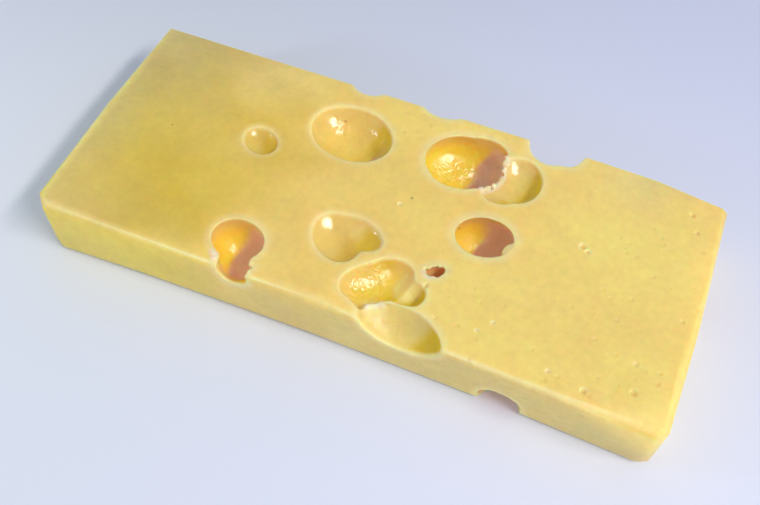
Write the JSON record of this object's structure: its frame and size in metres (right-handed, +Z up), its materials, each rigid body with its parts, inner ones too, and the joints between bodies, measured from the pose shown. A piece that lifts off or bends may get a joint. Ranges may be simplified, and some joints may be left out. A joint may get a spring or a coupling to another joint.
{
  "type": "cheese slab",
  "caption": "Flat rectangular slab of pale yellow holed cheese with rounded edges, its round eyes open bowls in the top face and broken through at the long edges.",
  "frame": {"origin": "middle of the underside, where the slab rests", "axes": "+X along the slab's length, +Y towards the notched back edge, +Z up through the thickness"},
  "size_m": [0.2014, 0.0875, 0.0239],
  "materials": {
    "cheese": "satin, slightly translucent"
  },
  "bodies": {
    "root": {"cheese": "cheese"}
  },
  "joints": []
}
